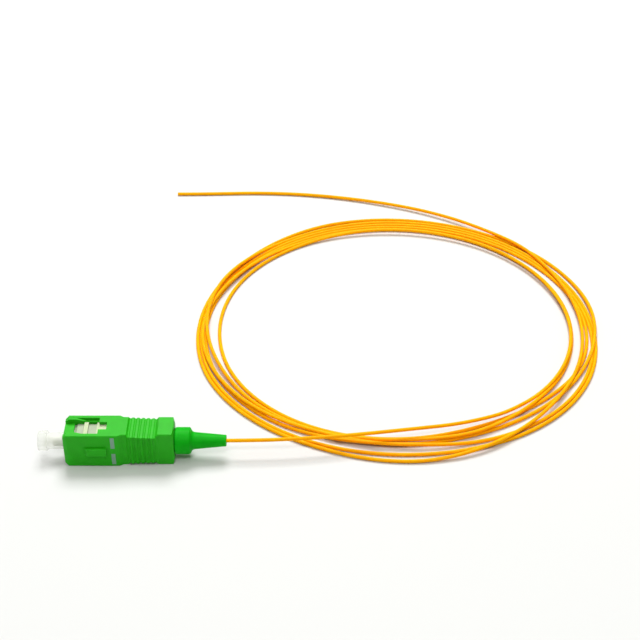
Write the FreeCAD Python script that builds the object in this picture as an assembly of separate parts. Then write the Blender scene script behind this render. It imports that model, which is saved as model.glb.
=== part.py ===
import FreeCAD, Part
import math
import os

# A fibre pigtail: a square push-pull plug with an angled 2.5 mm ferrule, on 0.9 mm buffered
# fibre that lies in a loose coil and ends bare.
# Frame: millimetres, +X along the plug towards the fibre, +Z up, -Y the side with the key.
# The origin is on the surface that the plug lies on, under its axis, half way along the sleeve.

# Driving dimensions in millimetres. Stations along the plug are distances behind the nose.

# coupling sleeve
SLEEVE_LENGTH = 24.9
SLEEVE_HEIGHT = 9.0
SLEEVE_DEPTH = 7.4
EDGE_RADIUS = 0.3
NOSE_BEVEL_LENGTH = 0.8
NOSE_BEVEL_WIDE = 0.4
NOSE_BEVEL_NARROW = 0.7
REAR_BEVEL_LENGTH = 0.25
REAR_BEVEL = 0.15
REAR_CONE_LENGTH = 0.45
REAR_CONE_RADIUS = 4.0
FRONT_LENGTH = 12.4
WAIST_RAMP = 0.9
WAIST_STEP = 0.51
GRIP_START = 14.3
GRIP_END = 20.6
GRIP_LEAD_IN = 0.55
GRIP_RUN_OUT = 0.8
GRIP_WIDE_STEP_FRONT = 0.08
GRIP_WIDE_STEP_REAR = 0.05
GRIP_NARROW_STEP_FRONT = 0.48
GRIP_NARROW_STEP_REAR = 0.8
REAR_STEP = 0.55
GROOVE_COUNT = 6
GROOVE_PITCH = 1.15
GROOVE_RADIUS = 0.42
GROOVE_DEPTH_WIDE = 0.34
GROOVE_DEPTH_NARROW = 0.14

# key and index marks, on the -Y face
KEY_START = 4.7
KEY_LENGTH = 5.0
KEY_WIDTH = 2.1
KEY_HEIGHT = 0.65
KEY_RAMP = 0.7
KEY_BEVEL = 0.15
MARK_START = 10.7
MARK_WIDTH = 0.95
MARK_GAP = 1.5
MARK_LENGTH = 3.2
MARK_SINK = 0.06

# latch channel, one on each narrow face
CHANNEL_WIDTH = 5.5
CHANNEL_DEPTH = 0.7
CHANNEL_LENGTH = 7.9
BRIDGE_LENGTH = 2.2
BRIDGE_SINK = 1.2
WINDOW_WIDTH = 4.4
SLOT_WIDTH = 2.5
SLOT_LENGTH = 1.8
RAMP_START = 2.6
RAMP_END = 5.0
RAMP_DROP = 0.05

# plug frame
FRAME_INSET = 0.3
FRAME_DEPTH = 5.9
FRAME_HEIGHT = 5.3
FRAME_SHOULDER = 9.6
FRAME_TAIL_DEPTH = 5.0
FRAME_END = 17.0
FRAME_BEVEL = 0.3
FRAME_BORE_RADIUS = 2.35
FRAME_BORE_DEPTH = 4.9
WEB_THICKNESS = 0.8
WEB_BORE_CLEARANCE = 0.15
CHAMBER_RADIUS = 2.1
PAD_GAP = 0.2
PAD_HEIGHT = 0.5
PAD_RAMP = 0.5
CREST_START = 4.45
CREST_LENGTH = 0.95
CREST_HEIGHT = 0.55
CREST_RAMP = 0.2
BAR_START = 7.35
BAR_HEIGHT = 0.45
BAR_CLEARANCE = 0.1
SLIDE_CLEARANCE = 0.1
SLEEVE_TRAVEL = 2.2
STOP_CLEARANCE = 0.1
SNAP_WINDOW_START = 14.9
SNAP_WINDOW_LENGTH = 1.5
SNAP_WINDOW_WIDTH = 1.6
SNAP_CLEARANCE = 0.1
SNAP_HEIGHT = 0.3

# ferrule, flange and spring
FERRULE_RADIUS = 1.25
FERRULE_LENGTH = 10.5
FERRULE_CHAMFER = 0.35
FERRULE_END_ANGLE = 8.0
FERRULE_SEAT_DEPTH = 1.75
FLANGE_RADIUS = 2.0
FLANGE_THICKNESS = 1.5
FLANGE_TAIL_RADIUS = 1.3
FLANGE_TAIL_LENGTH = 2.4
FLANGE_SLOT_WIDTH = 0.6
FLANGE_SLOT_DEPTH = 0.35
FLANGE_SLOT_COUNT = 4
SEAT_GAP = 0.05
SPRING_WIRE_RADIUS = 0.2
SPRING_MEAN_RADIUS = 1.68
SPRING_TURNS = 5.5

# stop ring
STOP_RING_START = 13.4
STOP_SHOULDER_RADIUS = 2.45
STOP_SHOULDER_LENGTH = 0.9
STOP_BARREL_RADIUS = 1.8
STOP_BARREL_LENGTH = 5.0
STOP_BORE_RADIUS = 1.0
STOP_RING_GROOVE = 0.15
STOP_RING_GROOVE_COUNT = 3

# strain relief boot
BOOT_NECK_RADIUS = 2.45
REAR_BORE_CLEARANCE = 0.15
COLLAR_GAP = 0.14
COLLAR_RADIUS = 3.1
COLLAR_LENGTH = 3.46
COLLAR_BEVEL = 0.2
SHOULDER_RADIUS = 2.35
SHOULDER_LENGTH = 0.3
TAPER_START_RADIUS = 1.95
FILLET_LENGTH = 0.85
TAPER_END_RADIUS = 1.32
BOOT_TIP = 36.64
BOOT_BORE_CLEARANCE = 0.05

# guide tube
TUBE_WALL = 0.3
TUBE_CLEARANCE = 0.05
TUBE_START = 18.6
TUBE_LENGTH = 9.0

# dust cap
CAP_PROUD = 6.2
CAP_HEAD_LENGTH = 2.2
CAP_HEAD_RADIUS = 2.35
CAP_HEAD_ROUND = 0.35
CAP_BODY_RADIUS = 1.92
CAP_BODY_END = 3.6
CAP_BORE_CLEARANCE = 0.03
CAP_END_WALL = 1.2
CAP_LEAD_IN = 0.3
CAP_NUB_RADIUS = 0.28
CAP_NUB_HEIGHT = 0.22

# buffered fibre
FIBRE_RADIUS = 0.45

# Route of the fibre from the boot to the coil, chosen by hand from the photograph.
# The first point is the boot's tip and takes its place from the boot.
LEAD_ROUTE = [
    (31.0, 0.05, 4.52),
    (39.5, 0.55, 4.5),
    (48.5, 1.6, 4.3),
    (58.0, 3.3, 3.95),
    (67.5, 5.3, 3.5),
    (76.5, 7.45, 2.85),
    (84.0, 10.25, 2.3),
    (90.3, 13.6, 1.7),
]

# Route of the free end, from inside the coil to the bare cut end.
FREE_ROUTE = [
    (100.2, 84.7, 1.3),
    (92.3, 91.4, 1.3),
    (83.5, 97.8, 1.2),
    (73.2, 103.2, 1.0),
    (62.4, 107.1, 0.8),
    (51.2, 110.1, 0.6),
    (39.6, 112.0, 0.52),
    (28.0, 112.7, 0.48),
    (17.5, 112.4, 0.47),
    (10.5, 112.15, 0.46),
    (4.4, 112.15, 0.46),
]

# coil, as one ring of the coil's outer shape
COIL_CENTRE = (65.0, 47.8)
COIL_INNER_OFFSET = (-0.55, 1.05)
COIL_INNER_RADIUS = 43.2
COIL_SPREAD = 8.3
COIL_HEIGHT = 1.9
COIL_ROUND = 0.6

# Values that follow from the driving dimensions.
NOSE_X = -SLEEVE_LENGTH / 2
AXIS_Z = SLEEVE_HEIGHT / 2
HALF_DEPTH = SLEEVE_DEPTH / 2
HALF_HEIGHT = SLEEVE_HEIGHT / 2
FACES = (1, -1)
X_AXIS = FreeCAD.Vector(1, 0, 0)
Y_AXIS = FreeCAD.Vector(0, 1, 0)
Z_AXIS = FreeCAD.Vector(0, 0, 1)
# how far a cutter runs past the face it starts from
PAST = 1.0
FIBRE_CLEAR_RADIUS = FIBRE_RADIUS + BOOT_BORE_CLEARANCE
FLANGE_START = FRAME_BORE_DEPTH + WEB_THICKNESS + SEAT_GAP
FLANGE_BACK = FLANGE_START + FLANGE_THICKNESS
FERRULE_BACK = FLANGE_START + FERRULE_SEAT_DEPTH
FERRULE_TIP = FERRULE_BACK - FERRULE_LENGTH
TUBE_INNER_RADIUS = FIBRE_RADIUS + TUBE_CLEARANCE
TUBE_OUTER_RADIUS = TUBE_INNER_RADIUS + TUBE_WALL
STOP_SHOULDER_END = FRAME_END + STOP_SHOULDER_LENGTH
STOP_RING_END = STOP_SHOULDER_END + STOP_BARREL_LENGTH
PAD_WIDTH = WINDOW_WIDTH - 2 * BAR_CLEARANCE
BAR_TOP = FRAME_HEIGHT / 2 + PAD_HEIGHT + BAR_HEIGHT
COLLAR_START = SLEEVE_LENGTH + COLLAR_GAP
COLLAR_END = COLLAR_START + COLLAR_LENGTH
REAR_BORE_RADIUS = BOOT_NECK_RADIUS + REAR_BORE_CLEARANCE
SLEEVE_SHOULDER = FRAME_SHOULDER + SLEEVE_TRAVEL + STOP_CLEARANCE
REAR_BORE_START = FRAME_END + SLEEVE_TRAVEL + STOP_CLEARANCE


def station(behind_nose):
    """X of a place that is given as a distance behind the sleeve's nose."""
    return NOSE_X + behind_nose


def on_axis(behind_nose):
    return FreeCAD.Vector(station(behind_nose), 0, AXIS_Z)


def block(start, end, depth, low, high):
    """Box between two stations, centred on the plug's middle plane, with heights from the axis."""
    corner = FreeCAD.Vector(station(start), -depth / 2, AXIS_Z + low)
    return Part.makeBox(end - start, depth, high - low, corner)


def rod(start, end, radius):
    """Cylinder along the plug's axis between two stations."""
    return Part.makeCylinder(radius, end - start, on_axis(start), X_AXIS)


def pipe(start, end, outer, inner):
    return rod(start, end, outer).cut(rod(start - PAST, end + PAST, inner))


def turned(profile):
    """Solid of revolution about the plug's axis. The profile lists (station, radius)."""
    points = [FreeCAD.Vector(station(x), 0, AXIS_Z + r) for x, r in profile]
    wire = Part.makePolygon(points + points[:1])
    return Part.Face(wire).revolve(on_axis(0), X_AXIS, 360)


def rounded_section(behind_nose, half_depth, half_height):
    """Upright rounded rectangle across the plug's axis."""
    x = station(behind_nose)
    inner_y = half_depth - EDGE_RADIUS
    inner_z = half_height - EDGE_RADIUS
    diagonal = EDGE_RADIUS * math.sqrt(0.5)
    edges = []
    ends = []
    for side_y, side_z in ((1, 1), (-1, 1), (-1, -1), (1, -1)):
        on_wide = FreeCAD.Vector(x, side_y * half_depth, AXIS_Z + side_z * inner_z)
        on_narrow = FreeCAD.Vector(x, side_y * inner_y, AXIS_Z + side_z * half_height)
        middle_y = side_y * (inner_y + diagonal)
        middle = FreeCAD.Vector(x, middle_y, AXIS_Z + side_z * (inner_z + diagonal))
        start, end = (on_wide, on_narrow) if side_y == side_z else (on_narrow, on_wide)
        if ends:
            edges.append(Part.makeLine(ends[-1], start))
        edges.append(Part.Arc(start, middle, end).toShape())
        ends += [start, end]
    edges.append(Part.makeLine(ends[-1], ends[0]))
    return Part.Wire(edges)


def grip_line(start_step, end_step, half_size, behind_nose):
    """Half width of the rib crests at a station of the grip."""
    share = (behind_nose - GRIP_START) / (GRIP_END - GRIP_START)
    return half_size - start_step - share * (end_step - start_step)


def rear_cone():
    """Round envelope of the sleeve, whose cone takes the corners off the rear end."""
    corner_radius = math.hypot(HALF_DEPTH, HALF_HEIGHT)
    return turned([
        (-PAST, 0),
        (-PAST, corner_radius),
        (SLEEVE_LENGTH - REAR_CONE_LENGTH, corner_radius),
        (SLEEVE_LENGTH, REAR_CONE_RADIUS),
        (SLEEVE_LENGTH, 0),
    ])


def sleeve_body():
    """Outer form: a full front section, a waist, a grip and a rear collar."""
    waist = HALF_DEPTH - WAIST_STEP
    rear = HALF_DEPTH - REAR_STEP
    bevelled_depth = HALF_DEPTH - NOSE_BEVEL_WIDE
    bevelled_height = HALF_HEIGHT - NOSE_BEVEL_NARROW
    grip_front = GRIP_START + GRIP_LEAD_IN
    grip_front_depth = HALF_DEPTH - GRIP_WIDE_STEP_FRONT
    grip_front_height = HALF_HEIGHT - GRIP_NARROW_STEP_FRONT
    grip_rear_depth = HALF_DEPTH - GRIP_WIDE_STEP_REAR
    grip_rear_height = HALF_HEIGHT - GRIP_NARROW_STEP_REAR
    sections = [
        rounded_section(0, bevelled_depth, bevelled_height),
        rounded_section(NOSE_BEVEL_LENGTH, HALF_DEPTH, HALF_HEIGHT),
        rounded_section(FRONT_LENGTH, HALF_DEPTH, HALF_HEIGHT),
        rounded_section(FRONT_LENGTH + WAIST_RAMP, waist, HALF_HEIGHT),
        rounded_section(GRIP_START, waist, HALF_HEIGHT),
        rounded_section(grip_front, grip_front_depth, grip_front_height),
        rounded_section(GRIP_END, grip_rear_depth, grip_rear_height),
        rounded_section(GRIP_END + GRIP_RUN_OUT, rear, HALF_HEIGHT),
        rounded_section(SLEEVE_LENGTH - REAR_BEVEL_LENGTH, rear, HALF_HEIGHT),
        rounded_section(SLEEVE_LENGTH, rear - REAR_BEVEL, HALF_HEIGHT - REAR_BEVEL),
    ]
    return Part.makeLoft(sections, True, True).common(rear_cone())


def grip_grooves():
    """Round-bottomed grooves across all four faces, between the grip's ribs."""
    cutters = []
    wide_lift = GROOVE_RADIUS - GROOVE_DEPTH_WIDE
    narrow_lift = GROOVE_RADIUS - GROOVE_DEPTH_NARROW
    first = GRIP_START + GRIP_LEAD_IN
    for index in range(GROOVE_COUNT):
        place = first + index * GROOVE_PITCH
        wide_crest = grip_line(GRIP_WIDE_STEP_FRONT, GRIP_WIDE_STEP_REAR, HALF_DEPTH, place)
        narrow_crest = grip_line(GRIP_NARROW_STEP_FRONT, GRIP_NARROW_STEP_REAR, HALF_HEIGHT, place)
        wide = wide_crest + wide_lift
        narrow = narrow_crest + narrow_lift
        for side in FACES:
            upright = FreeCAD.Vector(station(place), side * wide, 0)
            level = FreeCAD.Vector(station(place), -HALF_DEPTH, AXIS_Z + side * narrow)
            cutters.append(Part.makeCylinder(GROOVE_RADIUS, SLEEVE_HEIGHT, upright, Z_AXIS))
            cutters.append(Part.makeCylinder(GROOVE_RADIUS, SLEEVE_DEPTH, level, Y_AXIS))
    return cutters


def key():
    """Raised key on the -Y face, ramped at the front and bevelled at its long edges."""
    face_y = -HALF_DEPTH
    end = KEY_START + KEY_LENGTH
    side_view = [
        (KEY_START, 0),
        (KEY_START + KEY_RAMP, KEY_HEIGHT),
        (end, KEY_HEIGHT),
        (end, -EDGE_RADIUS),
        (KEY_START, -EDGE_RADIUS),
    ]
    low = AXIS_Z - KEY_WIDTH / 2
    points = [FreeCAD.Vector(station(x), face_y - h, low) for x, h in side_view]
    solid = Part.Face(Part.makePolygon(points + points[:1])).extrude(Z_AXIS * KEY_WIDTH)
    top_edges = []
    for edge in solid.Edges:
        ends = [vertex.Point for vertex in edge.Vertexes]
        along = abs(ends[1].x - ends[0].x) > KEY_RAMP
        if along and ends[0].y < face_y - KEY_HEIGHT / 2:
            top_edges.append(edge)
    return solid.makeChamfer(KEY_BEVEL, top_edges)


def index_mark_recesses():
    """Two shallow recesses for the paint marks, above and below the key's line."""
    recesses = []
    for side in FACES:
        low = MARK_GAP / 2 if side > 0 else -MARK_GAP / 2 - MARK_LENGTH
        corner = FreeCAD.Vector(station(MARK_START), -HALF_DEPTH - PAST, AXIS_Z + low)
        recesses.append(Part.makeBox(MARK_WIDTH, PAST + MARK_SINK, MARK_LENGTH, corner))
    return recesses


def latch_ramps(side):
    """Sloping ledges on both walls of a latch channel, which lift the latch hooks."""
    floor = HALF_HEIGHT - CHANNEL_DEPTH
    base = HALF_HEIGHT - BRIDGE_SINK
    top = HALF_HEIGHT - RAMP_DROP
    side_view = [
        (0, base),
        (0, top - NOSE_BEVEL_NARROW),
        (NOSE_BEVEL_LENGTH, top),
        (RAMP_START, top),
        (RAMP_END, floor),
        (RAMP_END, base),
    ]
    ledge = (CHANNEL_WIDTH - WINDOW_WIDTH) / 2
    ramps = []
    for wall in FACES:
        y = WINDOW_WIDTH / 2 if wall > 0 else -CHANNEL_WIDTH / 2
        points = [FreeCAD.Vector(station(x), y, AXIS_Z + side * h) for x, h in side_view]
        face = Part.Face(Part.makePolygon(points + points[:1]))
        ramps.append(face.extrude(Y_AXIS * ledge))
    return ramps


def narrow_face_cut(start, end, width, half_low, side):
    """Cutter that opens a narrow face from half_low above the axis outwards."""
    low, high = sorted((side * half_low, side * (HALF_HEIGHT + PAST)))
    return block(start, end, width, low, high)


def coupling_sleeve():
    cavity_depth = FRAME_DEPTH + 2 * SLIDE_CLEARANCE
    tail_depth = FRAME_TAIL_DEPTH + 2 * SLIDE_CLEARANCE
    half_cavity = FRAME_HEIGHT / 2 + SLIDE_CLEARANCE
    half_groove = BAR_TOP + BAR_CLEARANCE
    floor = HALF_HEIGHT - CHANNEL_DEPTH
    bridge_top = HALF_HEIGHT - BRIDGE_SINK
    slot_end = CHANNEL_LENGTH + SLOT_LENGTH
    sleeve = sleeve_body().cut(grip_grooves() + index_mark_recesses()).fuse(key())
    channels = [narrow_face_cut(-PAST, CHANNEL_LENGTH, CHANNEL_WIDTH, floor, s) for s in FACES]
    ramps = latch_ramps(1) + latch_ramps(-1)
    sleeve = sleeve.cut(channels).fuse(ramps)
    cuts = [
        block(-PAST, SLEEVE_SHOULDER, cavity_depth, -half_cavity, half_cavity),
        block(SLEEVE_SHOULDER, REAR_BORE_START, tail_depth, -half_cavity, half_cavity),
        block(CHANNEL_LENGTH, SLEEVE_SHOULDER, WINDOW_WIDTH, -half_groove, half_groove),
        rod(REAR_BORE_START, SLEEVE_LENGTH + PAST, REAR_BORE_RADIUS),
    ]
    for side in FACES:
        cuts.append(narrow_face_cut(-PAST, BRIDGE_LENGTH, WINDOW_WIDTH, bridge_top, side))
        cuts.append(narrow_face_cut(BRIDGE_LENGTH, CHANNEL_LENGTH, WINDOW_WIDTH, 0, side))
        cuts.append(narrow_face_cut(CHANNEL_LENGTH, slot_end, SLOT_WIDTH, 0, side))
    return sleeve.cut(cuts).removeSplitter()


def latch_pad(side):
    """Pad on a narrow face of the plug frame, with the crest that a latch hook snaps over."""
    half = FRAME_HEIGHT / 2
    pad = half + PAD_HEIGHT
    start = BRIDGE_LENGTH + PAD_GAP
    crest_end = CREST_START + CREST_LENGTH
    side_view = [
        (start, half - PAD_HEIGHT),
        (start, half),
        (start + PAD_RAMP, pad),
        (CREST_START - CREST_RAMP, pad),
        (CREST_START, pad + CREST_HEIGHT),
        (crest_end, pad + CREST_HEIGHT),
        (crest_end, pad),
        (BAR_START, pad),
        (BAR_START, BAR_TOP),
        (FRAME_SHOULDER, BAR_TOP),
        (FRAME_SHOULDER, half - PAD_HEIGHT),
    ]
    start_y = -PAD_WIDTH / 2
    points = [FreeCAD.Vector(station(x), start_y, AXIS_Z + side * h) for x, h in side_view]
    return Part.Face(Part.makePolygon(points + points[:1])).extrude(Y_AXIS * PAD_WIDTH)


def plug_frame():
    half = FRAME_HEIGHT / 2
    front = block(FRAME_INSET, FRAME_SHOULDER, FRAME_DEPTH, -half, half)
    nose_edges = [e for e in front.Edges if e.BoundBox.XMax < station(FRAME_INSET) + FRAME_BEVEL]
    front = front.makeChamfer(FRAME_BEVEL, nose_edges)
    tail = block(FRAME_SHOULDER, FRAME_END, FRAME_TAIL_DEPTH, -half, half)
    frame = front.fuse([tail] + [latch_pad(side) for side in FACES])
    web_end = FRAME_BORE_DEPTH + WEB_THICKNESS
    window = block(
        SNAP_WINDOW_START,
        SNAP_WINDOW_START + SNAP_WINDOW_LENGTH,
        FRAME_TAIL_DEPTH + PAST,
        -SNAP_WINDOW_WIDTH / 2,
        SNAP_WINDOW_WIDTH / 2,
    )
    cuts = [
        rod(FRAME_INSET - PAST, FRAME_BORE_DEPTH, FRAME_BORE_RADIUS),
        rod(0, FRAME_END, FERRULE_RADIUS + WEB_BORE_CLEARANCE),
        rod(web_end, FRAME_END + PAST, CHAMBER_RADIUS),
        window,
    ]
    return frame.cut(cuts).removeSplitter()


def ferrule():
    """Ceramic ferrule with a chamfered tip, ground at a slight angle to the axis."""
    tip = FERRULE_TIP
    shape = turned([
        (tip, 0),
        (tip, FERRULE_RADIUS - FERRULE_CHAMFER),
        (tip + FERRULE_CHAMFER, FERRULE_RADIUS),
        (FERRULE_BACK, FERRULE_RADIUS),
        (FERRULE_BACK, FIBRE_RADIUS),
        (FERRULE_BACK - FIBRE_RADIUS, 0),
    ])
    reach = 2 * FERRULE_RADIUS
    corner = FreeCAD.Vector(-reach, -reach, -reach)
    grinder = Part.makeBox(reach, 2 * reach, 2 * reach, corner)
    grinder.rotate(FreeCAD.Vector(0, 0, 0), Y_AXIS, FERRULE_END_ANGLE)
    grinder.translate(on_axis(tip))
    return shape.cut(grinder)


def ferrule_flange():
    """Metal flange with rim slots and a tail that the fibre enters."""
    tail_end = FLANGE_BACK + FLANGE_TAIL_LENGTH
    rim = rod(FLANGE_START, FLANGE_BACK, FLANGE_RADIUS)
    slots = []
    for index in range(FLANGE_SLOT_COUNT):
        slot = block(
            FLANGE_START - PAST,
            FLANGE_BACK + PAST,
            FLANGE_SLOT_WIDTH,
            FLANGE_RADIUS - FLANGE_SLOT_DEPTH,
            FLANGE_RADIUS + PAST,
        )
        slot.rotate(on_axis(0), X_AXIS, index * 360 / FLANGE_SLOT_COUNT)
        slots.append(slot)
    body = rim.cut(slots).fuse(rod(FLANGE_BACK, tail_end, FLANGE_TAIL_RADIUS))
    seat = rod(FLANGE_START - PAST, FERRULE_BACK, FERRULE_RADIUS)
    bore = rod(FERRULE_BACK, tail_end + PAST, FIBRE_CLEAR_RADIUS)
    return body.cut([seat, bore]).removeSplitter()


def ferrule_spring():
    """Round-wire compression spring between the flange and the stop ring."""
    start = FLANGE_BACK + SPRING_WIRE_RADIUS + SEAT_GAP
    end = STOP_RING_START - SPRING_WIRE_RADIUS - SEAT_GAP
    helix = Part.makeHelix((end - start) / SPRING_TURNS, end - start, SPRING_MEAN_RADIUS)
    section_centre = FreeCAD.Vector(SPRING_MEAN_RADIUS, 0, 0)
    section = Part.Wire(Part.makeCircle(SPRING_WIRE_RADIUS, section_centre, Y_AXIS))
    wire = Part.Wire(helix).makePipeShell([section], True, True)
    wire.rotate(FreeCAD.Vector(0, 0, 0), Y_AXIS, 90)
    wire.translate(on_axis(start))
    return wire


def stop_ring():
    """Turned insert that snaps into the plug frame, seats the spring and carries the boot."""
    body = pipe(STOP_RING_START, FRAME_END, CHAMBER_RADIUS, STOP_BORE_RADIUS)
    shoulder = pipe(FRAME_END, STOP_SHOULDER_END, STOP_SHOULDER_RADIUS, STOP_BORE_RADIUS)
    barrel = pipe(STOP_SHOULDER_END, STOP_RING_END, STOP_BARREL_RADIUS, STOP_BORE_RADIUS)
    tab = block(
        SNAP_WINDOW_START + SNAP_CLEARANCE,
        SNAP_WINDOW_START + SNAP_WINDOW_LENGTH - SNAP_CLEARANCE,
        2 * (CHAMBER_RADIUS + SNAP_HEIGHT),
        -SNAP_WINDOW_WIDTH / 2 + SNAP_CLEARANCE,
        SNAP_WINDOW_WIDTH / 2 - SNAP_CLEARANCE,
    )
    tab = tab.cut(rod(STOP_RING_START, FRAME_END, (CHAMBER_RADIUS + STOP_BORE_RADIUS) / 2))
    grooves = []
    groove_pitch = STOP_BARREL_LENGTH / (STOP_RING_GROOVE_COUNT + 1)
    for index in range(STOP_RING_GROOVE_COUNT):
        middle = STOP_SHOULDER_END + (index + 1) * groove_pitch
        grooves.append(pipe(
            middle - STOP_RING_GROOVE,
            middle + STOP_RING_GROOVE,
            STOP_BARREL_RADIUS + PAST,
            STOP_BARREL_RADIUS - STOP_RING_GROOVE,
        ))
    return body.fuse([shoulder, barrel, tab]).cut(grooves).removeSplitter()


def guide_tube():
    return pipe(TUBE_START, TUBE_START + TUBE_LENGTH, TUBE_OUTER_RADIUS, TUBE_INNER_RADIUS)


def buffered_fibre():
    """The fibre inside the plug, from the ferrule to the boot's tip."""
    return rod(FERRULE_BACK, BOOT_TIP, FIBRE_RADIUS)


def boot_outline():
    """Neck, collar, shoulder with a concave fillet, and taper, as one closed wire."""
    neck_start = STOP_SHOULDER_END + SEAT_GAP
    tube_end = TUBE_START + TUBE_LENGTH + SEAT_GAP
    fillet_start = COLLAR_END + SHOULDER_LENGTH
    fillet_end = fillet_start + FILLET_LENGTH
    fillet_middle_radius = TAPER_START_RADIUS + (SHOULDER_RADIUS - TAPER_START_RADIUS) * 0.3
    lower = [
        (neck_start, BOOT_NECK_RADIUS),
        (COLLAR_START, BOOT_NECK_RADIUS),
        (COLLAR_START, COLLAR_RADIUS - COLLAR_BEVEL),
        (COLLAR_START + COLLAR_BEVEL, COLLAR_RADIUS),
        (COLLAR_END - COLLAR_BEVEL, COLLAR_RADIUS),
        (COLLAR_END, COLLAR_RADIUS - COLLAR_BEVEL),
        (fillet_start, SHOULDER_RADIUS),
    ]
    upper = [
        (fillet_end, TAPER_START_RADIUS),
        (BOOT_TIP - COLLAR_BEVEL / 2, TAPER_END_RADIUS),
        (BOOT_TIP, TAPER_END_RADIUS - COLLAR_BEVEL / 2),
        (BOOT_TIP, FIBRE_RADIUS),
        (BOOT_TIP - PAST, FIBRE_CLEAR_RADIUS),
        (tube_end, FIBRE_CLEAR_RADIUS),
        (tube_end, TUBE_OUTER_RADIUS),
        (STOP_RING_END + SEAT_GAP, TUBE_OUTER_RADIUS),
        (STOP_RING_END + SEAT_GAP, STOP_BARREL_RADIUS),
        (neck_start, STOP_BARREL_RADIUS),
    ]
    lower = [FreeCAD.Vector(station(x), 0, AXIS_Z + r) for x, r in lower]
    upper = [FreeCAD.Vector(station(x), 0, AXIS_Z + r) for x, r in upper]
    middle_x = station(fillet_start + FILLET_LENGTH * 0.4)
    middle = FreeCAD.Vector(middle_x, 0, AXIS_Z + fillet_middle_radius)
    edges = [Part.makeLine(a, b) for a, b in zip(lower, lower[1:])]
    edges.append(Part.Arc(lower[-1], middle, upper[0]).toShape())
    edges += [Part.makeLine(a, b) for a, b in zip(upper, upper[1:])]
    edges.append(Part.makeLine(upper[-1], lower[0]))
    return Part.Wire(edges)


def strain_relief_boot():
    return Part.Face(boot_outline()).revolve(on_axis(0), X_AXIS, 360)


def dust_cap():
    """Push-on cap: a wider rounded head, a thin-walled body and a nub where it was moulded."""
    end = -CAP_PROUD
    head_end = end + CAP_HEAD_LENGTH
    bore = FERRULE_RADIUS + CAP_BORE_CLEARANCE
    bore_end = end + CAP_END_WALL
    shape = turned([
        (end, 0),
        (end, CAP_HEAD_RADIUS - CAP_HEAD_ROUND),
        (end + CAP_HEAD_ROUND * 0.3, CAP_HEAD_RADIUS - CAP_HEAD_ROUND * 0.3),
        (end + CAP_HEAD_ROUND, CAP_HEAD_RADIUS),
        (head_end - CAP_HEAD_ROUND * 0.4, CAP_HEAD_RADIUS),
        (head_end, CAP_HEAD_RADIUS - CAP_HEAD_ROUND * 0.4),
        (head_end, CAP_BODY_RADIUS),
        (CAP_BODY_END - CAP_LEAD_IN, CAP_BODY_RADIUS),
        (CAP_BODY_END, CAP_BODY_RADIUS - CAP_LEAD_IN),
        (CAP_BODY_END, bore),
        (bore_end, bore),
        (bore_end - bore * 0.2, 0),
    ])
    nub_base = FreeCAD.Vector(station(head_end - CAP_NUB_RADIUS), 0, AXIS_Z + CAP_BODY_RADIUS)
    nub_length = CAP_HEAD_RADIUS + CAP_NUB_HEIGHT - CAP_BODY_RADIUS
    nub = Part.makeCylinder(CAP_NUB_RADIUS, nub_length, nub_base, Z_AXIS)
    return shape.fuse(nub).removeSplitter()


def route_wire(route):
    """Straight runs joined by tangent arcs, each as large as its two runs allow."""
    points = [FreeCAD.Vector(*place) for place in route]
    edges = []
    radii = []
    last = points[0]
    for before, corner, after in zip(points, points[1:], points[2:]):
        incoming = corner - before
        outgoing = after - corner
        turn = incoming.getAngle(outgoing)
        reach = 0.45 * min(incoming.Length, outgoing.Length)
        radius = reach / math.tan(turn / 2)
        start = corner - incoming.normalize() * reach
        end = corner + outgoing.normalize() * reach
        inward = (end + start) * 0.5 - corner
        to_centre = math.hypot(radius, reach)
        middle = corner + inward.normalize() * (to_centre - radius)
        edges.append(Part.LineSegment(last, start).toShape())
        edges.append(Part.Arc(start, middle, end).toShape())
        radii.append(radius)
        last = end
    edges.append(Part.LineSegment(last, points[-1]).toShape())
    return Part.Wire(edges), radii


def fibre_tube(name, route):
    """Tube of the fibre's diameter along a route, with its bend radii and volume reported."""
    path, radii = route_wire(route)
    start = path.Edges[0].valueAt(path.Edges[0].FirstParameter)
    heading = path.Edges[0].tangentAt(path.Edges[0].FirstParameter)
    section = Part.Wire(Part.makeCircle(FIBRE_RADIUS, start, heading))
    tube = path.makePipeShell([section], True, False)
    expected = math.pi * FIBRE_RADIUS ** 2 * path.Length
    print(name, "length %.1f" % path.Length, "radii", [round(r) for r in radii])
    print(name, "volume %.2f, section times length %.2f" % (tube.Volume, expected))
    return tube


def fibre_lead():
    boot_tip = (station(BOOT_TIP), 0, AXIS_Z)
    return fibre_tube("fibre_lead", [boot_tip] + LEAD_ROUTE)


def fibre_free_end():
    return fibre_tube("fibre_free_end", FREE_ROUTE)


def fibre_coil():
    """One closed ring of the coil's outer shape, with its hole a little off centre."""
    centre = FreeCAD.Vector(*COIL_CENTRE, 0)
    inner_centre = centre + FreeCAD.Vector(*COIL_INNER_OFFSET, 0)
    outer = Part.makeCylinder(COIL_INNER_RADIUS + COIL_SPREAD, COIL_HEIGHT, centre)
    ring = outer.cut(Part.makeCylinder(COIL_INNER_RADIUS, COIL_HEIGHT, inner_centre))
    rims = [edge for edge in ring.Edges if edge.BoundBox.ZLength < COIL_ROUND]
    return ring.makeChamfer(COIL_ROUND, rims)


PARTS = {
    "coupling_sleeve": coupling_sleeve,
    "plug_frame": plug_frame,
    "ferrule": ferrule,
    "ferrule_flange": ferrule_flange,
    "ferrule_spring": ferrule_spring,
    "stop_ring": stop_ring,
    "guide_tube": guide_tube,
    "buffered_fibre": buffered_fibre,
    "strain_relief_boot": strain_relief_boot,
    "dust_cap": dust_cap,
    "fibre_lead": fibre_lead,
    "fibre_coil": fibre_coil,
    "fibre_free_end": fibre_free_end,
}

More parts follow.
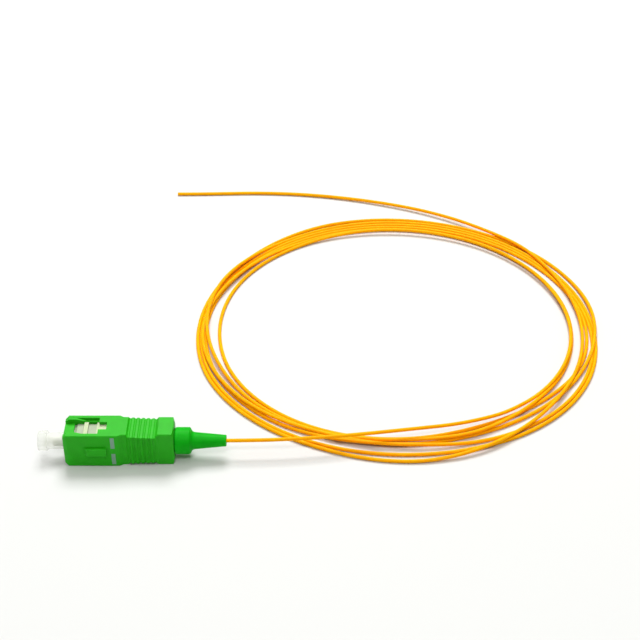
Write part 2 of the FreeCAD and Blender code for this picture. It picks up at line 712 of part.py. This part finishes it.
os.makedirs("parts", exist_ok=True)
for node, make in PARTS.items():
    shape = make()
    box = shape.BoundBox
    print(node, "solids", len(shape.Solids), "valid", shape.isValid(), "volume %.2f" % shape.Volume)
    print("   X %.2f %.2f" % (box.XMin, box.XMax), "Y %.2f %.2f" % (box.YMin, box.YMax),
          "Z %.2f %.2f" % (box.ZMin, box.ZMax))
    shape.exportStep("parts/%s.step" % node)
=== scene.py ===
import math

import bpy
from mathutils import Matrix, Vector


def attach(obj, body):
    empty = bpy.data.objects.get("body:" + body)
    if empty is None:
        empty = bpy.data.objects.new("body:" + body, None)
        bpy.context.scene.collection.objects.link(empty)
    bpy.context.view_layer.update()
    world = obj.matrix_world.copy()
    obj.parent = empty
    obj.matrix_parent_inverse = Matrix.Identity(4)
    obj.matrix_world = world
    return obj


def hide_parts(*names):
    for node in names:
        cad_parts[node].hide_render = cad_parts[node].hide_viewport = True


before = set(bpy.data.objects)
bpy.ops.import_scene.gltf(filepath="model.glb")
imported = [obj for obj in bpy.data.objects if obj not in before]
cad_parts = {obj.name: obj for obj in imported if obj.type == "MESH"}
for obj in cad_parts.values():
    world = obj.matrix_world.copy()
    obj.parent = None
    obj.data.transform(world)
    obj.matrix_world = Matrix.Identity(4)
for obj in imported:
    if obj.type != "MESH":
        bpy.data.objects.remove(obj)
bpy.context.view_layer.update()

# Places and sizes are in metres, in the part's own frame: +X along the plug from its nose to
# the fibre, +Z up, -Y towards the camera.

FIBRE_DIAMETER = 0.0009
FIBRE_ROUND_STEPS = 4
FIBRE_STEPS_PER_POINT = 8
AXIS_HEIGHT = 0.0045

# Middle of an index mark's painted floor (along the plug, its depth, off the axis), and its reach.
MARK_PLACE = (-0.001275, -0.00364, 0.00235)
MARK_REACH = (0.00049, 0.00003, 0.00162)

# Distance off the axis of the plug frame's latch pads, and of the catches that stand on them.
# Between the two, the frame's colour eases to a paler painted highlight.
PAD_TOP = 0.0032
CATCH_TOP = 0.0035

# Route of the fibre from the boot's tip to the coil.
LEAD_ROUTE = [
    (0.02419, 0.0, 0.0045),
    (0.0310, 0.00005, 0.00452),
    (0.0395, 0.00055, 0.0045),
    (0.0485, 0.0016, 0.0043),
    (0.0580, 0.0033, 0.00395),
    (0.0675, 0.0053, 0.0035),
    (0.0765, 0.00745, 0.00285),
    (0.0840, 0.01025, 0.0023),
    (0.0903, 0.0136, 0.0017),
]

# Route of the free end, from the coil to the bare cut end.
FREE_ROUTE = [
    (0.1002, 0.0847, 0.0013),
    (0.0923, 0.0914, 0.0013),
    (0.0835, 0.0978, 0.0012),
    (0.0732, 0.1032, 0.0010),
    (0.0624, 0.1071, 0.0008),
    (0.0512, 0.1101, 0.0006),
    (0.0396, 0.1120, 0.00052),
    (0.0280, 0.1127, 0.00048),
    (0.0175, 0.1124, 0.00047),
    (0.0105, 0.11215, 0.00046),
    (0.0044, 0.11215, 0.00046),
]

# The coil: its turns run anticlockwise seen from above, and are loose. Each entry is one turn, with
# its radius in millimetres at sixteen headings, from the viewer's side round. The last is half one.
COIL_CENTRE = (0.0650, 0.0478)
TURN_RADII = [
    (43.0, 42.9, 42.9, 43.7, 44.2, 44.2, 44.4, 44.2,
     44.1, 44.6, 45.2, 45.3, 45.0, 45.0, 44.6, 43.7),
    (42.6, 42.0, 43.8, 47.2, 48.4, 47.9, 47.4, 46.9,
     46.7, 46.9, 47.2, 47.7, 48.5, 48.6, 47.8, 45.9),
    (45.3, 47.0, 49.1, 49.8, 49.3, 48.8, 48.4, 48.1,
     47.9, 48.0, 48.2, 48.7, 49.5, 50.0, 49.4, 48.5),
    (48.0, 48.8, 50.3, 50.7, 50.1, 49.7, 49.4, 49.2,
     49.2, 49.1, 48.7, 48.9, 48.3, 46.9, 45.7, 44.4),
    (43.6, 44.6, 43.7, 44.0, 44.5, 45.1, 45.4, 45.6,
     45.6, 45.8, 46.2, 47.4, 49.3, 49.0, 47.4, 45.2),
    (44.5, 44.3, 45.8, 48.2, 50.6, 51.6, 51.0, 50.4,
     50.5, 50.9, 49.9, 49.7, 50.4, 51.0, 50.3, 49.6),
    (50.5, 49.9, 47.6, 47.0, 47.0, 48.0, 49.9, 52.2),
]
MILLIMETRES = 1000

# Degrees along the winding: its heading at 0, the step between two radii above, where the coil
# takes over from the lead and gives way to the free end, and the step between control points.
FIRST_HEADING = -90.0
RADIUS_STEP = 22.5
WOUND_FROM = 51.0
WOUND_TO = 2295.0
COIL_STEP = 15.0

# Height of a turn's centre on the floor. Then where a turn passes over others: degrees along the
# winding where it starts to rise, is up, starts to fall and is down, and its centre's height there.
LYING = 0.00046
HUMPS = [
    (0.0, 30.0, 185.0, 215.0, 0.00140),
    (690.0, 708.0, 722.0, 742.0, 0.00136),
    (1290.0, 1325.0, 1355.0, 1388.0, 0.00215),
    (1422.0, 1438.0, 1484.0, 1505.0, 0.00136),
    (1656.0, 1680.0, 1776.0, 1796.0, 0.00136),
    (1860.0, 1876.0, 1896.0, 1912.0, 0.00136),
    (2168.0, 2180.0, 2290.0, 2400.0, 0.00136),
]

# The photograph's view: lens and sensor in millimetres, tilt in degrees up from straight down.
CAMERA_PLACE = (0.04553, -0.25733, 0.23149)
CAMERA_TILT = 53.18
CAMERA_LENS = 84.375
CAMERA_SENSOR = 36.0
CAMERA_CLIP = 0.01

# Moulded plastic: its clouds of colour, its patches of shine and its grain. Scales are per metre.
CLOUD_SCALE = 350.0
CLOUD_DARK = 0.93
CLOUD_LIGHT = 1.05
PATCH_SCALE = 900.0
PATCH_SMOOTHER = 0.05
PATCH_ROUGHER = 0.07
GRAIN_SCALE = 6000.0
GRAIN_STRENGTH = 0.25
GRAIN_DEPTH = 0.00001
PLASTIC_IOR = 1.49
PLASTIC_LIGHT_DEPTH = 0.002
PLASTIC_LIGHT_SPREAD = 0.2

# Turned metal: rings across the plug's axis, finer along it than across it.
RING_STRETCH = (9000.0, 300.0, 300.0)
RING_DARK = 0.9
RING_SMOOTHER = 0.08
RING_ROUGHER = 0.1
RING_STRENGTH = 0.2
RING_DEPTH = 0.000005

# Share of a noise's range over which a colour changes.
NOISE_LOW = 0.3
NOISE_HIGH = 0.7

FLOOR_HALF = 1.5
FLOOR_COLOUR = (0.67, 0.67, 0.67, 1.0)
FLOOR_ROUGHNESS = 0.9

# Each light's name, place, size and watts.
LIGHTS = [
    ("overhead_softbox", (0.05, 0.10, 1.0), 0.9, 3.6),
    ("back_light", (0.02, 0.58, 0.92), 0.46, 10.6),
    ("front_light", (0.05, -0.50, 0.88), 0.22, 3.0),
]
LIGHT_AIM = (0.05, 0.04, 0.0)
WORLD_COLOUR = (0.97, 1.0, 0.84, 1.0)
WORLD_STRENGTH = 0.24


def smooth(share):
    """A share from 0 to 1, eased at both ends."""
    share = min(max(share, 0.0), 1.0)
    return share * share * (3 - 2 * share)


def turn_radius(wound):
    """Radius of the winding, eased between the radii given for each turn."""
    flat = [radius for turn in TURN_RADII for radius in turn]
    place = wound / RADIUS_STEP
    index = min(int(place), len(flat) - 2)
    share = place - index
    before = flat[max(index - 1, 0)]
    start = flat[index]
    end = flat[index + 1]
    after = flat[min(index + 2, len(flat) - 1)]
    rise = (end - before) / 2
    run_out = (after - start) / 2
    cube = share ** 3
    square = share ** 2
    radius = (2 * cube - 3 * square + 1) * start + (cube - 2 * square + share) * rise
    radius += (3 * square - 2 * cube) * end + (cube - square) * run_out
    return radius / MILLIMETRES


def turn_height(wound):
    """Height of the winding's centre: on the floor, or over the turns that it crosses."""
    height = LYING
    for rises, up, falls, down, top in HUMPS:
        share = smooth((wound - rises) / (up - rises)) * smooth((down - wound) / (down - falls))
        height = max(height, LYING + share * (top - LYING))
    return height


def coil_points():
    """Control points of the coil's turns, set out by as much as the spline runs inside them."""
    points = []
    outset = 1 / math.cos(math.radians(COIL_STEP / 2))
    wound = WOUND_FROM
    while wound <= WOUND_TO:
        heading = math.radians(FIRST_HEADING + wound)
        radius = turn_radius(wound) * outset
        x = COIL_CENTRE[0] + radius * math.cos(heading)
        y = COIL_CENTRE[1] + radius * math.sin(heading)
        points.append((x, y, turn_height(wound)))
        wound += COIL_STEP
    return points


def fibre():
    """The buffered fibre from the boot's tip to its bare end, as one smooth line.

    Its thickness is set on the points, so that the curve's own box is as small as the fibre.
    """
    points = LEAD_ROUTE + coil_points() + FREE_ROUTE
    curve = bpy.data.curves.new("fibre", "CURVE")
    curve.dimensions = "3D"
    curve.bevel_depth = 1.0
    curve.bevel_resolution = FIBRE_ROUND_STEPS
    curve.resolution_u = FIBRE_STEPS_PER_POINT
    curve.use_fill_caps = True
    spline = curve.splines.new("NURBS")
    spline.points.add(len(points) - 1)
    for point, place in zip(spline.points, points):
        point.co = (*place, 1.0)
        point.radius = FIBRE_DIAMETER / 2
    spline.order_u = 3
    spline.use_endpoint_u = True
    obj = bpy.data.objects.new("fibre", curve)
    bpy.context.collection.objects.link(obj)
    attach(obj, "plug")
    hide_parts("fibre_lead", "fibre_coil", "fibre_free_end")
    return obj


def camera():
    data = bpy.data.cameras.new("camera")
    data.lens = CAMERA_LENS
    data.sensor_width = CAMERA_SENSOR
    data.clip_start = CAMERA_CLIP
    obj = bpy.data.objects.new("camera", data)
    obj.location = CAMERA_PLACE
    obj.rotation_euler = (math.radians(CAMERA_TILT), 0.0, 0.0)
    bpy.context.collection.objects.link(obj)
    bpy.context.scene.camera = obj


class Nodes:
    """A material's node tree, with short calls that add and join its nodes."""

    def __init__(self, name):
        self.material = bpy.data.materials.new(name)
        self.material.use_nodes = True
        self.tree = self.material.node_tree
        self.shader = self.tree.nodes["Principled BSDF"]
        self.place = self.add("ShaderNodeTexCoord").outputs["Object"]

    def add(self, kind, **values):
        node = self.tree.nodes.new(kind)
        for key, value in values.items():
            setattr(node, key, value)
        return node

    def join(self, output, socket):
        self.tree.links.new(output, socket)

    def set(self, **values):
        for key, value in values.items():
            self.shader.inputs[key.replace("_", " ")].default_value = value

    def feed(self, **outputs):
        """Join each output to the shader's input of that name."""
        for key, output in outputs.items():
            self.join(output, self.shader.inputs[key.replace("_", " ")])

    def base_colour(self):
        """The output that feeds the shader's colour so far."""
        return self.shader.inputs["Base Color"].links[0].from_socket

    def noise(self, scale, detail=3.0, stretch=None):
        node = self.add("ShaderNodeTexNoise")
        node.inputs["Scale"].default_value = scale
        node.inputs["Detail"].default_value = detail
        place = self.place
        if stretch:
            mapping = self.add("ShaderNodeMapping")
            mapping.inputs["Scale"].default_value = stretch
            self.join(place, mapping.inputs["Vector"])
            place = mapping.outputs["Vector"]
        self.join(place, node.inputs["Vector"])
        return node.outputs["Fac"]

    def ramp(self, factor, low, high):
        """One colour at the low end of a noise, easing to another at its high end."""
        node = self.add("ShaderNodeValToRGB")
        stops = ((NOISE_LOW, low), (NOISE_HIGH, high))
        for element, (place, colour) in zip(node.color_ramp.elements, stops):
            element.position = place
            element.color = (*colour, 1.0)
        self.join(factor, node.inputs["Fac"])
        return node.outputs["Color"]

    def between(self, factor, low, high):
        node = self.add("ShaderNodeMapRange")
        node.inputs["To Min"].default_value = low
        node.inputs["To Max"].default_value = high
        self.join(factor, node.inputs["Value"])
        return node.outputs["Result"]

    def rise(self, value, low, high):
        """0 where the value is at its low mark, and 1 at its high one."""
        node = self.add("ShaderNodeMapRange")
        node.inputs["From Min"].default_value = low
        node.inputs["From Max"].default_value = high
        self.join(value, node.inputs["Value"])
        return node.outputs["Result"]

    def paint(self, share, colour):
        """Lay a colour over the shader's own where the share is 1."""
        node = self.add("ShaderNodeMix", data_type="RGBA")
        under, over = [socket for socket in node.inputs if socket.type == "RGBA"]
        result = next(socket for socket in node.outputs if socket.type == "RGBA")
        self.join(share, node.inputs["Factor"])
        self.join(self.base_colour(), under)
        over.default_value = (*colour, 1.0)
        self.feed(Base_Color=result)

    def within(self, value, middle, reach):
        """1 where the value is within reach of the middle, and 0 elsewhere."""
        node = self.add("ShaderNodeMath", operation="COMPARE")
        self.join(value, node.inputs[0])
        node.inputs[1].default_value = middle
        node.inputs[2].default_value = reach
        return node.outputs["Value"]

    def maths(self, operation, first, second):
        node = self.add("ShaderNodeMath", operation=operation)
        for value, socket in ((first, node.inputs[0]), (second, node.inputs[1])):
            if isinstance(value, float):
                socket.default_value = value
            else:
                self.join(value, socket)
        return node.outputs["Value"]

    def plug_places(self):
        """Place along the plug, its depth, and its distance above or below the axis."""
        node = self.add("ShaderNodeSeparateXYZ")
        self.join(self.place, node.inputs["Vector"])
        x, y, z = node.outputs
        return x, y, self.maths("ABSOLUTE", self.maths("SUBTRACT", z, AXIS_HEIGHT), 0.0)

    def bump(self, height, strength, distance):
        node = self.add("ShaderNodeBump")
        node.inputs["Strength"].default_value = strength
        node.inputs["Distance"].default_value = distance
        self.join(height, node.inputs["Height"])
        self.feed(Normal=node.outputs["Normal"])


def moulded_plastic(name, colour, roughness, grain=GRAIN_SCALE, through=0.0, shine=0.2):
    """Plastic as it leaves the mould: a faint cloud of colour, and a fine satin grain."""
    nodes = Nodes(name)
    dark = tuple(c * CLOUD_DARK for c in colour)
    light = tuple(min(c * CLOUD_LIGHT, 1.0) for c in colour)
    nodes.feed(Base_Color=nodes.ramp(nodes.noise(CLOUD_SCALE), dark, light))
    patches = nodes.noise(PATCH_SCALE)
    smoother, rougher = roughness - PATCH_SMOOTHER, roughness + PATCH_ROUGHER
    nodes.feed(Roughness=nodes.between(patches, smoother, rougher))
    nodes.bump(nodes.noise(grain), GRAIN_STRENGTH, GRAIN_DEPTH)
    spread = tuple(PLASTIC_LIGHT_SPREAD + c for c in colour)
    nodes.set(
        Subsurface_Weight=through,
        Subsurface_Scale=PLASTIC_LIGHT_DEPTH,
        Subsurface_Radius=spread,
        IOR=PLASTIC_IOR,
        Specular_IOR_Level=shine,
    )
    return nodes


def turned_metal(name, colour, roughness):
    """Turned metal with fine rings across the plug's axis."""
    nodes = Nodes(name)
    rings = nodes.noise(1.0, detail=4.0, stretch=RING_STRETCH)
    smoother, rougher = roughness - RING_SMOOTHER, roughness + RING_ROUGHER
    nodes.feed(Roughness=nodes.between(rings, smoother, rougher))
    dark = tuple(c * RING_DARK for c in colour)
    nodes.feed(Base_Color=nodes.ramp(rings, dark, colour))
    nodes.bump(rings, RING_STRENGTH, RING_DEPTH)
    nodes.set(Metallic=1.0)
    return nodes.material


def sleeve_plastic():
    """Green moulding, with grey paint in the two index marks on its -Y face."""
    nodes = moulded_plastic("sleeve_plastic", (0.018, 0.41, 0.006), 0.42, through=0.3, shine=0.16)
    inside = [
        nodes.within(place, middle, reach)
        for place, middle, reach in zip(nodes.plug_places(), MARK_PLACE, MARK_REACH)
    ]
    along_and_deep = nodes.maths("MULTIPLY", inside[0], inside[1])
    nodes.paint(nodes.maths("MULTIPLY", along_and_deep, inside[2]), (0.22, 0.39, 0.28))
    return nodes.material


def frame_plastic():
    """Cream moulding, with a painted highlight: paler colour where its catches stand proud of the
    pads.
    """
    nodes = moulded_plastic("frame_plastic", (0.38, 0.43, 0.31), 0.45, through=0.2)
    off_axis = nodes.plug_places()[2]
    # Painted highlight: the catches are coloured paler by their distance off the axis, as if lit
    # more strongly than the shaded pads.
    nodes.paint(nodes.rise(off_axis, PAD_TOP, CATCH_TOP), (0.50, 0.57, 0.36))
    return nodes.material


def boot_rubber():
    return moulded_plastic(
        "boot_rubber", (0.003, 0.39, 0.006), 0.5, through=0.3, shine=0.08,
    ).material


def tube_plastic():
    return moulded_plastic("tube_plastic", (0.85, 0.85, 0.83), 0.35, through=0.2).material


def fibre_coating():
    """Yellow-orange coating, thin enough for light to reach only a little way in."""
    nodes = moulded_plastic("fibre_coating", (1.0, 0.41, 0.0), 0.5, through=0.4, shine=0.06)
    nodes.set(Subsurface_Scale=0.0008, Subsurface_Radius=(1.0, 0.5, 0.02))
    return nodes.material


def ceramic():
    return moulded_plastic("ceramic", (0.88, 0.87, 0.84), 0.15, grain=9000.0, through=0.1).material


def cap_plastic():
    """Thin translucent moulding: milky, with a soft shine."""
    nodes = moulded_plastic("cap_plastic", (0.84, 0.86, 0.78), 0.25, through=0.3)
    nodes.set(Alpha=0.27)
    return nodes.material


def dress(node, material):
    """Give a CAD piece its material."""
    obj = bpy.data.objects[node]
    if not obj.material_slots:
        obj.data.materials.append(material)
    for slot in obj.material_slots:
        slot.material = material


def floor():
    mesh = bpy.data.meshes.new("floor")
    half = FLOOR_HALF
    corners = [(-half, -half, 0), (half, -half, 0), (half, half, 0), (-half, half, 0)]
    mesh.from_pydata(corners, [], [(0, 1, 2, 3)])
    obj = bpy.data.objects.new("floor", mesh)
    bpy.context.collection.objects.link(obj)
    nodes = Nodes("floor_paper")
    nodes.set(Base_Color=FLOOR_COLOUR, Roughness=FLOOR_ROUGHNESS)
    mesh.materials.append(nodes.material)


def area_light(name, place, size, power):
    data = bpy.data.lights.new(name, "AREA")
    data.size = size
    data.energy = power
    obj = bpy.data.objects.new(name, data)
    obj.location = place
    direction = Vector(LIGHT_AIM) - Vector(place)
    obj.rotation_euler = direction.to_track_quat("-Z", "Y").to_euler()
    bpy.context.collection.objects.link(obj)


def lights():
    for light in LIGHTS:
        area_light(*light)
    world = bpy.data.worlds.new("studio")
    world.use_nodes = True
    background = world.node_tree.nodes["Background"]
    background.inputs["Color"].default_value = WORLD_COLOUR
    background.inputs["Strength"].default_value = WORLD_STRENGTH
    bpy.context.scene.world = world
    bpy.context.scene.view_settings.view_transform = "Standard"


camera()
fibre_object = fibre()
coating = fibre_coating()
fibre_object.data.materials.append(coating)
dress("coupling_sleeve", sleeve_plastic())
dress("plug_frame", frame_plastic())
dress("ferrule", ceramic())
dress("ferrule_flange", turned_metal("plated_metal", (0.62, 0.60, 0.55), 0.3))
dress("ferrule_spring", turned_metal("spring_steel", (0.55, 0.55, 0.55), 0.28))
dress("stop_ring", turned_metal("stop_ring_metal", (0.70, 0.69, 0.67), 0.3))
dress("guide_tube", tube_plastic())
dress("buffered_fibre", coating)
dress("strain_relief_boot", boot_rubber())
dress("dust_cap", cap_plastic())
floor()
lights()

bpy.context.view_layer.update()
